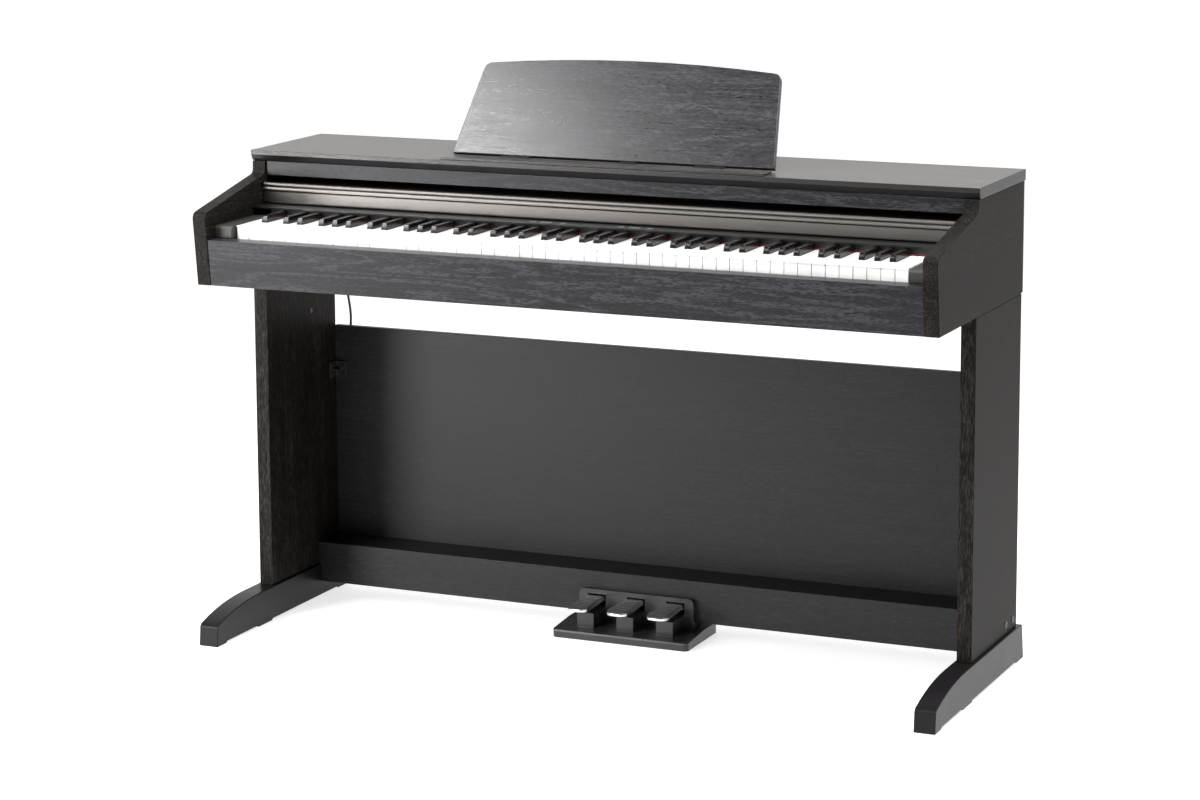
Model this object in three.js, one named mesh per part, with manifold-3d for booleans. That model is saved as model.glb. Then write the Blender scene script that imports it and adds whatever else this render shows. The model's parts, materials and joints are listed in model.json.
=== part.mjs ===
// Digital piano on a panel stand: an 88-key cabinet with a sliding key cover, a hinged music rest,
// two panel legs on long feet, a stretcher, a back panel and a three-pedal unit.
// Millimetres. +Z up, the player sits on the -Y side, X runs from the bass to the treble end.
// The origin is on the floor, midway between the feet.
import * as THREE from 'three';
import { mergeVertices } from 'three/addons/utils/BufferGeometryUtils.js';
import Module from 'manifold-3d';

const wasm = await Module();
wasm.setup();

// ---------- driving dimensions ----------
const GAP = 0.3;                 // air between pieces that touch

const CHEEK_OUT = 673;           // half width over the two cheeks
const CHEEK_T = 25;
const CHEEK_IN = CHEEK_OUT - CHEEK_T;
const INNER = CHEEK_IN - GAP;    // half length of the boards between the cheeks
const LID_HALF = 675;
const LID_TOP = 856;
const LID_BOTTOM = 837;
const LID_FRONT = -34;
const BODY_BOTTOM = 643;
const CHEEK_REAR = 219;
const BODY_REAR = 226;
const BOARD_TOP = 655;           // top of the bottom board

const SLOPE = THREE.MathUtils.degToRad(11.9);   // of the cheeks' upper edge
const FRONT_LEAN = 13 / 112;     // the front faces lean out towards the top
const FRONT_FOOT = -230.5;       // front face of the cheeks at the bottom edge
const SLIP_TOP = 724;            // top of the front panel and the key slip
const PANEL_REAR = -213;         // rear face of the front panel
const END_BLOCK_IN = 613.5;      // key end blocks start here, just past the last key
const FELT_HALF = 612;

const FASCIA_FRONT = -27;
const FASCIA_BOTTOM = 811.6;
const PANEL_LIP = -79;           // front edge of the control panel
const PANEL_TOP = 762.5;
const TRAY_BOTTOM = 759;         // underside of the control panel

const WHITE_PITCH = 23.5;
const OCTAVE = 7 * WHITE_PITCH;
const KEY_GAP = 0.6;
const WHITE_TOP = 746;
const WHITE_FRONT = -200;
const BLACK_FRONT = -149;
const BLACK_TOP = 758;
const BLACK_WIDTH = 11;
const CAP_REAR = -77.5;          // where the raised part of a black key ends
const KEYBED_START = -26 * WHITE_PITCH;

const COVER_RADIUS = 1000;       // the cover and its grooves follow this arc
const COVER_CENTRE_Y = -45.5;
const COVER_MID_Z = 794;         // middle of the cover panel at the top of the arc
const COVER_T = 7;
const COVER_HALF = 646.5;
const TONGUE_HALF = 651.5;       // the tongues run in the cheeks' grooves
const HANDLE_FRONT = -43;
const HANDLE_BOTTOM = 764.3;
const HANDLE_TOP = 801;

const REST_TILT = THREE.MathUtils.degToRad(31.7);
const REST_T = 10;
const REST_FOOT_Y = 17;          // lower front edge of the music rest
const REST_HINGE_Z = 858;        // its lower rear edge, which is the hinge line

const LEG_IN = 647;
const LEG_FRONT = -37;
const LEG_REAR = 219;
const FOOT_IN = 642;
const FOOT_OUT = 679;
const FOOT_TOP = 62;
const STRETCHER_FRONT = 136;
const STRETCHER_TOP = 104;
const STRETCHER_BOTTOM = 29;
const BOARD_T = 15;
const BACK_FRONT = 216;
const BACK_T = 12;
const BACK_TOP = 500;
const BACK_BOTTOM = FOOT_TOP + GAP;

const PLATE_FRONT = 125;         // front of the pedal unit's upright plate
const PLATE_HALF = 110;
const BASE_HALF = 130;
const PEDAL_PITCH = 76;
const PEDAL_TIP = 30;
const PEDAL_TOP = 63;
const BLOCK_TOP = 43;            // rubber blocks under the pedals
const SLOT_CLEARANCE = 1.8;
const PEDAL_PIVOT_Y = 165;

// ---------- materials ----------
const paint = (color, roughness, metalness = 0) =>
  new THREE.MeshStandardMaterial({ color, roughness, metalness });
const MATERIAL = {
  cabinet: () => paint(0x2d2d33, 0.45),
  standBoard: () => paint(0x28272b, 0.5),
  footPlastic: () => paint(0x2a2729, 0.4),
  whiteKey: () => paint(0xf4f4f2, 0.25),
  blackKey: () => paint(0x141316, 0.3),
  darkPlastic: () => paint(0x1a191b, 0.35),
  greyPlastic: () => paint(0x4a4846, 0.45),
  cover: () => paint(0x6b6562, 0.35),
  felt: () => paint(0xb01226, 0.95),
  metal: () => paint(0xc9cacc, 0.2, 1),
  blackSteel: () => paint(0x161617, 0.5, 0.6),
  board: () => paint(0x1f5a36, 0.6),
};

// ---------- solids ----------
const group = new THREE.Group();

function toSolid(geometry) {
  const bare = geometry.index ? geometry.clone() : mergeVertices(geometry.clone());
  bare.deleteAttribute('normal');
  bare.deleteAttribute('uv');
  const welded = mergeVertices(bare, 1e-4);
  const mesh = new wasm.Mesh({
    numProp: 3,
    vertProperties: new Float32Array(welded.attributes.position.array),
    triVerts: new Uint32Array(welded.index.array),
  });
  return new wasm.Manifold(mesh);
}

function toGeometry(solid) {
  const mesh = solid.getMesh();
  const geometry = new THREE.BufferGeometry();
  geometry.setAttribute('position', new THREE.BufferAttribute(mesh.vertProperties, 3));
  geometry.setIndex(new THREE.BufferAttribute(mesh.triVerts, 1));
  geometry.computeVertexNormals();
  return geometry;
}

function box(x0, x1, y0, y1, z0, z1) {
  const geometry = new THREE.BoxGeometry(x1 - x0, y1 - y0, z1 - z0);
  geometry.translate((x0 + x1) / 2, (y0 + y1) / 2, (z0 + z1) / 2);
  return geometry;
}

const boxSolid = (...limits) => toSolid(box(...limits));

function outline(points) {
  return new THREE.Shape(points.map(([u, v]) => new THREE.Vector2(u, v)));
}

// A section drawn in the YZ plane, run along X from x0 to x1.
function alongX(shape, x0, x1, curveSegments = 6) {
  const geometry = new THREE.ExtrudeGeometry(shape, {
    depth: x1 - x0, bevelEnabled: false, steps: 1, curveSegments,
  });
  geometry.applyMatrix4(new THREE.Matrix4().makeBasis(
    new THREE.Vector3(0, 1, 0), new THREE.Vector3(0, 0, 1), new THREE.Vector3(1, 0, 0)));
  geometry.translate(x0, 0, 0);
  return geometry;
}

// A plan drawn in the XY plane, raised from z0 to z1.
function upright(shape, z0, z1, curveSegments = 6) {
  const geometry = new THREE.ExtrudeGeometry(shape, {
    depth: z1 - z0, bevelEnabled: false, steps: 1, curveSegments,
  });
  geometry.translate(0, 0, z0);
  return geometry;
}

function roundedBox(halfX, y0, y1, radius) {
  const shape = new THREE.Shape();
  shape.moveTo(-halfX + radius, y0);
  shape.lineTo(halfX - radius, y0);
  shape.absarc(halfX - radius, y0 + radius, radius, -Math.PI / 2, 0, false);
  shape.lineTo(halfX, y1);
  shape.lineTo(-halfX, y1);
  shape.absarc(-halfX + radius, y0 + radius, radius, Math.PI, 1.5 * Math.PI, false);
  return shape;
}

function cylinder(radius, height, sides, x, y, z) {
  const geometry = new THREE.CylinderGeometry(radius, radius, height, sides);
  geometry.rotateX(Math.PI / 2);
  geometry.translate(x, y, z);
  return toSolid(geometry);
}

function join(...solids) {
  return solids.reduce((whole, next) => whole.add(next));
}

function place(name, shape, material) {
  const geometry = shape instanceof THREE.BufferGeometry ? shape : toGeometry(shape);
  const mesh = new THREE.Mesh(geometry, MATERIAL[material]());
  mesh.name = name;
  group.add(mesh);
  return mesh;
}

const SIDES = [['left', -1], ['right', 1]];

function spanX(side, near, far) {
  return side < 0 ? [-far, -near] : [near, far];
}

// ---------- cover arc, shared by the cover panel and the grooves in the cheeks ----------
// A band of the cover's arc between two distances behind the cabinet's middle plane, as a YZ section.
function arcBand(yFront, yRear, halfThickness, steps) {
  const centreZ = COVER_MID_Z - COVER_RADIUS;
  const angle = (y) => Math.asin((y - COVER_CENTRE_Y) / COVER_RADIUS);
  const rim = (radius, from, to) => Array.from({ length: steps + 1 }, (_, i) => {
    const a = angle(from) + (angle(to) - angle(from)) * i / steps;
    return [COVER_CENTRE_Y + radius * Math.sin(a), centreZ + radius * Math.cos(a)];
  });
  return outline([
    ...rim(COVER_RADIUS - halfThickness, yFront, yRear),
    ...rim(COVER_RADIUS + halfThickness, yRear, yFront),
  ]);
}

// ---------- cabinet ----------
function frontFaceY(z, setBack = 0) {
  return FRONT_FOOT - FRONT_LEAN * (z - BODY_BOTTOM) + setBack;
}

function cheekSection() {
  const nose = { y: -232, z: 773, radius: 15 };    // where the sloped edge meets the front face
  const coveRadius = 12;
  const riserY = -32;                              // the short upright edge below the lid
  const cornerZ = nose.z + (riserY - nose.y) * Math.tan(SLOPE);
  const coveRun = coveRadius * Math.tan((Math.PI / 2 - SLOPE) / 2);
  const shape = new THREE.Shape();
  shape.moveTo(CHEEK_REAR, BODY_BOTTOM);
  shape.lineTo(CHEEK_REAR, LID_BOTTOM - GAP);
  shape.lineTo(riserY, LID_BOTTOM - GAP);
  shape.lineTo(riserY, cornerZ + coveRun);
  shape.quadraticCurveTo(riserY, cornerZ,
    riserY - coveRun * Math.cos(SLOPE), cornerZ - coveRun * Math.sin(SLOPE));
  shape.lineTo(nose.y, nose.z);
  shape.quadraticCurveTo(frontFaceY(nose.z), nose.z - 2.5,
    frontFaceY(nose.z - nose.radius), nose.z - nose.radius);
  shape.lineTo(FRONT_FOOT, BODY_BOTTOM);
  return shape;
}

function cheek(side) {
  const grooveDepth = 5;
  const board = toSolid(alongX(cheekSection(), ...spanX(side, CHEEK_IN, CHEEK_OUT)));
  const groove = toSolid(alongX(
    arcBand(-46, 208, COVER_T / 2 + 1.5, 12), ...spanX(side, CHEEK_IN - 1, CHEEK_IN + grooveDepth)));
  return board.subtract(groove);
}

function frontPanel() {
  const inset = 1.5;
  return alongX(outline([
    [frontFaceY(BODY_BOTTOM, inset), BODY_BOTTOM],
    [PANEL_REAR, BODY_BOTTOM],
    [PANEL_REAR, SLIP_TOP],
    [frontFaceY(SLIP_TOP, inset), SLIP_TOP],
  ]), -INNER, INNER);
}

function lid() {
  const edgeHeight = 8;
  const bevelRun = 6;
  return alongX(outline([
    [LID_FRONT, LID_TOP],
    [LID_FRONT, LID_TOP - edgeHeight],
    [LID_FRONT + bevelRun, LID_BOTTOM],
    [BODY_REAR, LID_BOTTOM],
    [BODY_REAR, LID_TOP],
  ]), -LID_HALF, LID_HALF);
}

const SPEAKER_SIDES = 20;
const SPEAKER = { x: 470, y: 136, holeRadius: 58, grille: 57, rim: 68 };

function bottomBoard() {
  const cutHeight = 40;
  const board = boxSolid(-INNER, INNER, PANEL_REAR + GAP, CHEEK_REAR, BODY_BOTTOM, BOARD_TOP);
  return SIDES.reduce((cut, [, s]) => cut.subtract(
    cylinder(SPEAKER.holeRadius, cutHeight, SPEAKER_SIDES, s * SPEAKER.x, SPEAKER.y, BOARD_TOP)), board);
}

// A driver that stands on the bottom board, its grille flush in the board's round hole.
function speaker(side) {
  const magnet = { radius: 30, top: 62, bottom: 42 };
  const basketTop = { radius: 44, height: 40 };
  const flange = 8;
  const grilleFace = -10;
  const profile = [
    [0, magnet.top], [magnet.radius, magnet.top], [magnet.radius, magnet.bottom],
    [basketTop.radius, basketTop.height], [SPEAKER.grille - 1, flange], [SPEAKER.rim, flange],
    [SPEAKER.rim, GAP], [SPEAKER.grille, GAP], [SPEAKER.grille, grilleFace], [0, grilleFace],
  ].map(([r, h]) => new THREE.Vector2(r, h));
  const geometry = new THREE.LatheGeometry(profile.reverse(), SPEAKER_SIDES);
  geometry.rotateX(Math.PI / 2);
  geometry.translate(side * SPEAKER.x, SPEAKER.y, BOARD_TOP);
  return toSolid(geometry);
}

const SOCKETS = { x0: 250, x1: 340, z0: 668, z1: 690 };

function rearPanel() {
  return boxSolid(-CHEEK_OUT, CHEEK_OUT, CHEEK_REAR + GAP, BODY_REAR, BODY_BOTTOM + 2, LID_BOTTOM - GAP)
    .subtract(boxSolid(SOCKETS.x0, SOCKETS.x1, CHEEK_REAR - 5, BODY_REAR + 5, SOCKETS.z0, SOCKETS.z1));
}

function mainBoard() {
  const clearance = 0.6;
  return join(
    boxSolid(60, 370, 130, 205, 663, 666),
    boxSolid(SOCKETS.x0 + clearance, SOCKETS.x1 - clearance, 195, BODY_REAR - 1.5,
      SOCKETS.z0 + clearance, SOCKETS.z1 - clearance),
    boxSolid(SOCKETS.x0 + 8, SOCKETS.x1 - 8, 195, 200, 665, 672),
    boxSolid(110, 142, 150, 182, 665, 669),
    boxSolid(190, 206, 150, 166, 665, 672),
    boxSolid(76, 84, 140, 148, BOARD_TOP + GAP, 664),
    boxSolid(350, 358, 140, 148, BOARD_TOP + GAP, 664),
  );
}

const BUTTON_CLEARANCE = 0.5;
const BUTTON_FRONT = -69.5;
const BUTTON_REAR = -62;
const BUTTON_FOOT = 754;
const BUTTON_RISE = 0.8;         // how far a button stands above the panel
const BUTTONS = [
  { name: 'button_volume_down', x: -106, width: 11 },
  { name: 'button_power', x: -81, width: 22 },
  { name: 'button_volume_up', x: -51, width: 11 },
  { name: 'button_select_down', x: 57, width: 11 },
  { name: 'button_function', x: 82, width: 22 },
  { name: 'button_select_up', x: 110, width: 11 },
];

function buttonBox(button, clearance, z0, z1) {
  const half = button.width / 2 + clearance;
  return boxSolid(
    button.x - half, button.x + half, BUTTON_FRONT - clearance, BUTTON_REAR + clearance, z0, z1);
}

function controlPanel() {
  const tray = toSolid(alongX(outline([
    [PANEL_LIP, TRAY_BOTTOM],
    [-20, TRAY_BOTTOM],
    [-20, TRAY_BOTTOM - 8],
    [-8, TRAY_BOTTOM - 8],
    [-8, PANEL_TOP],
    [-45, PANEL_TOP],
    [PANEL_LIP, PANEL_TOP - 0.5],
  ]), -INNER, INNER));
  return BUTTONS.reduce((panel, b) => panel.subtract(buttonBox(b, BUTTON_CLEARANCE, 750, 770)), tray);
}

function endBlock(side) {
  return toSolid(alongX(outline([
    [-200, SLIP_TOP - 20], [-24, SLIP_TOP - 20], [-24, WHITE_TOP], [-208, WHITE_TOP],
    [-212, WHITE_TOP - 4], [-212, SLIP_TOP + GAP], [-200, SLIP_TOP + GAP],
  ]), ...spanX(side, END_BLOCK_IN, INNER)));
}

for (const [side, s] of SIDES) {
  place(`cheek_${side}`, cheek(s), 'cabinet');
}
place('lid', lid(), 'cabinet');
place('fascia',
  box(-INNER, INNER, FASCIA_FRONT, FASCIA_FRONT + BOARD_T, FASCIA_BOTTOM, LID_BOTTOM - GAP), 'cabinet');
place('front_panel', frontPanel(), 'cabinet');
place('key_slip',
  box(-INNER, INNER, PANEL_REAR + GAP, PANEL_REAR + 10, SLIP_TOP - 12, SLIP_TOP), 'darkPlastic');
place('bottom_board', bottomBoard(), 'standBoard');
place('rear_panel', rearPanel(), 'standBoard');
place('control_panel', controlPanel(), 'darkPlastic');
place('name_felt',
  box(-FELT_HALF, FELT_HALF, PANEL_LIP + 2.5, PANEL_LIP + 8, WHITE_TOP + 1.5, TRAY_BOTTOM - GAP), 'felt');
place('main_board', mainBoard(), 'board');
for (const [side, s] of SIDES) {
  place(`speaker_${side}`, speaker(s), 'blackSteel');
  place(`end_block_${side}`, endBlock(s), 'greyPlastic');
}
for (const b of BUTTONS) {
  place(b.name, buttonBox(b, 0, BUTTON_FOOT, PANEL_TOP + BUTTON_RISE), 'greyPlastic');
}

// ---------- key cover ----------
function handleSection() {
  const shape = new THREE.Shape();
  shape.moveTo(HANDLE_FRONT + 6, HANDLE_BOTTOM);
  shape.lineTo(HANDLE_FRONT + 6, 786);
  shape.lineTo(-33, 790);
  shape.lineTo(-33, HANDLE_TOP - 1);
  shape.lineTo(-38, HANDLE_TOP);
  shape.quadraticCurveTo(-43.5, HANDLE_TOP, -43.5, 796);     // upper ridge
  shape.lineTo(-41.5, 792);
  shape.quadraticCurveTo(-44, 790.5, -43.5, 787);            // lower ridge
  shape.lineTo(-41.5, 784.5);
  shape.lineTo(HANDLE_FRONT, HANDLE_BOTTOM + 3);
  shape.lineTo(HANDLE_FRONT + 1, HANDLE_BOTTOM);
  return shape;
}

place('key_cover_handle', alongX(handleSection(), -COVER_HALF, COVER_HALF, 3), 'cover');

function coverPanel() {
  const sheet = toSolid(alongX(arcBand(-33 + GAP, 190, COVER_T / 2, 10), -COVER_HALF, COVER_HALF));
  const tongue = toSolid(alongX(arcBand(140, 190, COVER_T / 2, 3), -TONGUE_HALF, TONGUE_HALF));
  return sheet.add(tongue);
}

place('key_cover_panel', coverPanel(), 'cabinet');

// ---------- keys ----------
const WHITES = ['C', 'D', 'E', 'F', 'G', 'A', 'B'];
// Black keys in one octave: the white key they follow, and how far they sit off the joint line.
const BLACKS = [
  { name: 'C', after: 0, shift: -1.9 },
  { name: 'D', after: 1, shift: 1.9 },
  { name: 'F', after: 3, shift: -2.9 },
  { name: 'G', after: 4, shift: 0 },
  { name: 'A', after: 5, shift: 2.9 },
];
const PIVOT_END = 40;            // rear end of a white key
const BLACK_END = 60;
const SPINE = { y0: 20, y1: PIVOT_END, z0: 722, z1: 732 };

const octaveStart = (octave) => KEYBED_START + 2 * WHITE_PITCH + (octave - 1) * OCTAVE;
const whiteX = (octave, i) => octaveStart(octave) + i * WHITE_PITCH;
const blackX = (octave, b) => octaveStart(octave) + (b.after + 1) * WHITE_PITCH + b.shift;

function blackBeside(octave, i, side) {
  const after = side > 0 ? i : i - 1;
  const exists = BLACKS.find((b) => b.after === after);
  if (!exists || (octave === 0 && after < 5)) return null;
  if (octave === 8) return null;
  return blackX(octave, exists);
}

function whiteKey(octave, i) {
  const x0 = whiteX(octave, i) + KEY_GAP / 2;
  const x1 = x0 + WHITE_PITCH - KEY_GAP;
  const left = blackBeside(octave, i, -1);
  const right = blackBeside(octave, i, 1);
  const notch = BLACK_WIDTH / 2 + 1;
  const t0 = left === null ? x0 : left + notch;
  const t1 = right === null ? x1 : right - notch;
  const headRear = BLACK_FRONT - 1.5;
  const skirt = WHITE_FRONT + 8;
  const plan = outline([
    [x0, WHITE_FRONT], [x1, WHITE_FRONT], [x1, headRear], [t1, headRear],
    [t1, PIVOT_END], [t0, PIVOT_END], [t0, headRear], [x0, headRear],
  ].filter(([x, y], n, all) => n === 0 || x !== all[n - 1][0] || y !== all[n - 1][1]));
  return join(
    toSolid(upright(plan, WHITE_TOP - 10, WHITE_TOP)),
    boxSolid(x0, x1, WHITE_FRONT, skirt, SLIP_TOP - 2, WHITE_TOP - 5),
    boxSolid(t0, t1, SPINE.y0, SPINE.y1, SPINE.z0, WHITE_TOP - 5),
  );
}

function blackKey(octave, b) {
  const x = blackX(octave, b);
  return toSolid(alongX(outline([
    [BLACK_FRONT, WHITE_TOP - 10], [BLACK_END, WHITE_TOP - 12], [BLACK_END, WHITE_TOP - 1],
    [CAP_REAR, WHITE_TOP - 1], [CAP_REAR, BLACK_TOP], [BLACK_FRONT + 7, BLACK_TOP],
    [BLACK_FRONT + 3, BLACK_TOP - 2.5], [BLACK_FRONT, WHITE_TOP + 1],
  ]), x - BLACK_WIDTH / 2, x + BLACK_WIDTH / 2));
}

// Keys that are moulded as one set, joined by a spine at the pivot.
const KEY_SETS = [
  { name: 'a0_b1', octaves: [0, 1] },
  { name: 'c2_b3', octaves: [2, 3] },
  { name: 'c5_b6', octaves: [5, 6] },
  { name: 'c7_c8', octaves: [7, 8] },
];

function keysIn(octave) {
  const whites = WHITES.map((_, i) => i).filter((i) => (octave > 0 || i > 4) && (octave < 8 || i === 0));
  const blacks = octave === 8 ? [] : BLACKS.filter((b) => octave > 0 || b.after === 5);
  return { whites, blacks };
}

function spineOf(xs, y0, y1, z0, z1) {
  const inset = 2;
  return boxSolid(Math.min(...xs) + inset, Math.max(...xs) - inset, y0, y1, z0, z1);
}

for (const set of KEY_SETS) {
  const whites = set.octaves.flatMap((o) => keysIn(o).whites.map((i) => [o, i]));
  const blacks = set.octaves.flatMap((o) => keysIn(o).blacks.map((b) => [o, b]));
  const whiteSpine = spineOf(whites.flatMap(([o, i]) => [whiteX(o, i), whiteX(o, i) + WHITE_PITCH]),
    SPINE.y0, SPINE.y1, SPINE.z0, SPINE.z1);
  const blackSpine = spineOf(blacks.flatMap(([o, b]) => [blackX(o, b) - 7, blackX(o, b) + 7]),
    PIVOT_END + 2, BLACK_END, SPINE.z0, WHITE_TOP - 2);
  place(`keys_white_${set.name}`, join(whiteSpine, ...whites.map((k) => whiteKey(...k))), 'whiteKey');
  place(`keys_black_${set.name}`, join(blackSpine, ...blacks.map((k) => blackKey(...k))), 'blackKey');
}

const MIDDLE_OCTAVE = 4;
WHITES.forEach((letter, i) => {
  place(`key_${letter.toLowerCase()}4`, whiteKey(MIDDLE_OCTAVE, i), 'whiteKey');
});
for (const b of BLACKS) {
  place(`key_${b.name.toLowerCase()}_sharp_4`, blackKey(MIDDLE_OCTAVE, b), 'blackKey');
}

// The chassis under the keys: a base sheet, a guide bar at the front and the pivot bar at the rear.
function keyFrame() {
  return alongX(outline([
    [-198, BOARD_TOP + GAP], [64, BOARD_TOP + GAP], [64, 718], [14, 718], [14, 660],
    [-150, 660], [-150, 704], [-172, 704], [-172, 660], [-198, 660],
  ]), -610, 610);
}

place('key_frame', keyFrame(), 'blackSteel');

// ---------- music rest ----------
function restOutline() {
  const shoulder = 176;          // height of the side edges along the sheet
  const crown = 190;
  const bottomHalf = 300;
  const topHalf = 277;
  const corner = 13;
  const shape = new THREE.Shape();
  shape.moveTo(-bottomHalf, 0);
  shape.lineTo(bottomHalf, 0);
  shape.lineTo(topHalf + corner * 0.13, shoulder - corner);
  shape.quadraticCurveTo(topHalf, shoulder, topHalf - corner, shoulder + 1);
  shape.quadraticCurveTo(0, 2 * crown - shoulder - 1, -topHalf + corner, shoulder + 1);
  shape.quadraticCurveTo(-topHalf, shoulder, -topHalf - corner * 0.13, shoulder - corner);
  return shape;
}

const rest = new THREE.ExtrudeGeometry(restOutline(), {
  depth: REST_T, bevelEnabled: false, curveSegments: 8,
});
rest.translate(0, 0, -REST_T);
const restPlace = new THREE.Group();
restPlace.rotation.x = Math.PI / 2 - REST_TILT;
restPlace.position.set(0, REST_FOOT_Y, REST_HINGE_Z + REST_T * Math.sin(REST_TILT));
const restMesh = place('music_rest', rest, 'cabinet');
restPlace.add(restMesh);
group.add(restPlace);

place('rest_ledge', box(-300, 300, LID_FRONT + 0.5, 6, LID_TOP + GAP, LID_TOP + 5), 'cabinet');
place('rest_hinge', join(
  boxSolid(-215, 230, 8, 13, LID_TOP + GAP, LID_TOP + 2.5),
  boxSolid(-198, -146, 6 + GAP, 17, LID_TOP + GAP, LID_TOP + 4.5),
  boxSolid(25, 54, 6 + GAP, 17, LID_TOP + GAP, LID_TOP + 4.5),
  boxSolid(162, 217, 6 + GAP, 17, LID_TOP + GAP, LID_TOP + 4.5),
), 'blackSteel');

// ---------- stand ----------
function footSection() {
  const pad = 3;                 // the glides stand this far below the foot
  const shape = new THREE.Shape();
  shape.moveTo(-246, 0);
  shape.lineTo(-214, 0);
  shape.lineTo(-211, pad);
  shape.lineTo(-100, pad);
  shape.lineTo(-98, 0);
  shape.lineTo(-50, 0);
  shape.lineTo(-47, pad);
  shape.lineTo(202, pad);
  shape.lineTo(205, 0);
  shape.lineTo(246, 0);
  shape.lineTo(236, FOOT_TOP - 2);
  shape.lineTo(233, FOOT_TOP);
  shape.lineTo(-85, FOOT_TOP);
  shape.quadraticCurveTo(-168, FOOT_TOP, -237, 40);
  shape.lineTo(-243, 35);
  return shape;
}

for (const [side, s] of SIDES) {
  place(`foot_${side}`, alongX(footSection(), ...spanX(s, FOOT_IN, FOOT_OUT), 6), 'footPlastic');
  const [x0, x1] = spanX(s, LEG_IN, CHEEK_OUT);
  place(`leg_${side}`, box(x0, x1, LEG_FRONT, LEG_REAR, FOOT_TOP + GAP, BODY_BOTTOM - GAP), 'standBoard');
  const [b0, b1] = spanX(s, 622, LEG_IN - GAP);
  const legFlange = spanX(s, LEG_IN - GAP - 3, LEG_IN - GAP);
  const web = spanX(s, 634, LEG_IN - GAP - 1);
  place(`corner_bracket_${side}`, join(
    boxSolid(b0, b1, BACK_FRONT - 3 - GAP, BACK_FRONT - GAP, 403, 433),
    boxSolid(...legFlange, 190, BACK_FRONT - GAP, 403, 433),
    boxSolid(...web, 200, BACK_FRONT - 1, 417, 419.5),
  ), 'blackSteel');
}

place('back_panel',
  box(-LEG_IN + GAP, LEG_IN - GAP, BACK_FRONT, BACK_FRONT + BACK_T, BACK_BOTTOM, BACK_TOP), 'standBoard');

const HOUSING_HALF = 98;

function stretcher() {
  const end = LEG_IN - GAP;
  const channel = toSolid(alongX(outline([
    [STRETCHER_FRONT, STRETCHER_BOTTOM],
    [BACK_FRONT + BACK_T, STRETCHER_BOTTOM],
    [BACK_FRONT + BACK_T, STRETCHER_BOTTOM + 12],
    [STRETCHER_FRONT + BOARD_T, STRETCHER_BOTTOM + 12],
    [STRETCHER_FRONT + BOARD_T, STRETCHER_TOP - BOARD_T],
    [BACK_FRONT - GAP, STRETCHER_TOP - BOARD_T],
    [BACK_FRONT - GAP, STRETCHER_TOP],
    [STRETCHER_FRONT, STRETCHER_TOP],
  ]), -end, end));
  const pedalOpening = boxSolid(-HOUSING_HALF - 3, HOUSING_HALF + 3, 120, 196, 20, 68);
  const footNotches = SIDES.map(([, s]) => boxSolid(
    ...spanX(s, FOOT_IN - GAP, LEG_IN), 120, BACK_FRONT + BACK_T + 10, 0, FOOT_TOP + GAP));
  return footNotches.reduce((rail, notch) => rail.subtract(notch), channel.subtract(pedalOpening));
}

place('stretcher', stretcher(), 'standBoard');

// ---------- pedal unit ----------
const PEDAL_ROWS = [['pedal_left', -PEDAL_PITCH], ['pedal_middle', 0], ['pedal_right', PEDAL_PITCH]];

function pedalHousing() {
  const wall = 4;
  const baseFront = 48;
  const baseRear = 184;
  const wedge = toSolid(alongX(outline([
    [baseFront, 0], [baseRear, 0], [baseRear, 20], [PLATE_FRONT, 20], [baseFront + 2, 14], [baseFront, 11],
  ]), -BASE_HALF, BASE_HALF));
  const base = wedge.intersect(toSolid(upright(roundedBox(BASE_HALF, baseFront, baseRear, 9), -1, 30, 3)));
  const plateTop = 73;
  const plateShape = new THREE.Shape();
  plateShape.moveTo(-PLATE_HALF, 12);
  plateShape.lineTo(PLATE_HALF, 12);
  plateShape.lineTo(PLATE_HALF, plateTop - 9);
  plateShape.quadraticCurveTo(PLATE_HALF, plateTop, PLATE_HALF - 9, plateTop);
  plateShape.lineTo(-PLATE_HALF + 9, plateTop);
  plateShape.quadraticCurveTo(-PLATE_HALF, plateTop, -PLATE_HALF, plateTop - 9);
  const plateGeometry = upright(plateShape, 0, STRETCHER_FRONT - GAP - PLATE_FRONT, 3);
  plateGeometry.rotateX(Math.PI / 2);
  plateGeometry.translate(0, STRETCHER_FRONT - GAP, 0);
  const rearBox = join(
    boxSolid(-HOUSING_HALF, -HOUSING_HALF + wall, 130, 190, 16, 66),
    boxSolid(HOUSING_HALF - wall, HOUSING_HALF, 130, 190, 16, 66),
    boxSolid(-HOUSING_HALF, HOUSING_HALF, 190 - wall, 190, 16, 66),
    boxSolid(-HOUSING_HALF, HOUSING_HALF, 130, 190, 16, 22),
  );
  const blocks = PEDAL_ROWS.map(([, x]) => boxSolid(x - 16, x + 16, 74, PLATE_FRONT + 2, 10, BLOCK_TOP));
  const solid = join(base, toSolid(plateGeometry), rearBox, ...blocks);
  const slotTop = PEDAL_TOP + SLOT_CLEARANCE;
  return PEDAL_ROWS.reduce((housing, [, x]) =>
    housing.subtract(boxSolid(x - 17, x + 17, PLATE_FRONT - 1, 140, BLOCK_TOP, slotTop)), solid);
}

function pedal(x) {
  const tipHalf = 19.5;
  const neckHalf = 14.5;
  const shape = new THREE.Shape();
  shape.moveTo(x - neckHalf, PEDAL_PIVOT_Y + 12);
  shape.lineTo(x - neckHalf, PLATE_FRONT - 6);
  shape.lineTo(x - tipHalf, PEDAL_TIP + 14);
  shape.quadraticCurveTo(x - tipHalf + 1, PEDAL_TIP + 1, x, PEDAL_TIP);
  shape.quadraticCurveTo(x + tipHalf - 1, PEDAL_TIP + 1, x + tipHalf, PEDAL_TIP + 14);
  shape.lineTo(x + neckHalf, PLATE_FRONT - 6);
  shape.lineTo(x + neckHalf, PEDAL_PIVOT_Y + 12);
  return upright(shape, PEDAL_TOP - 8, PEDAL_TOP, 4);
}

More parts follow.
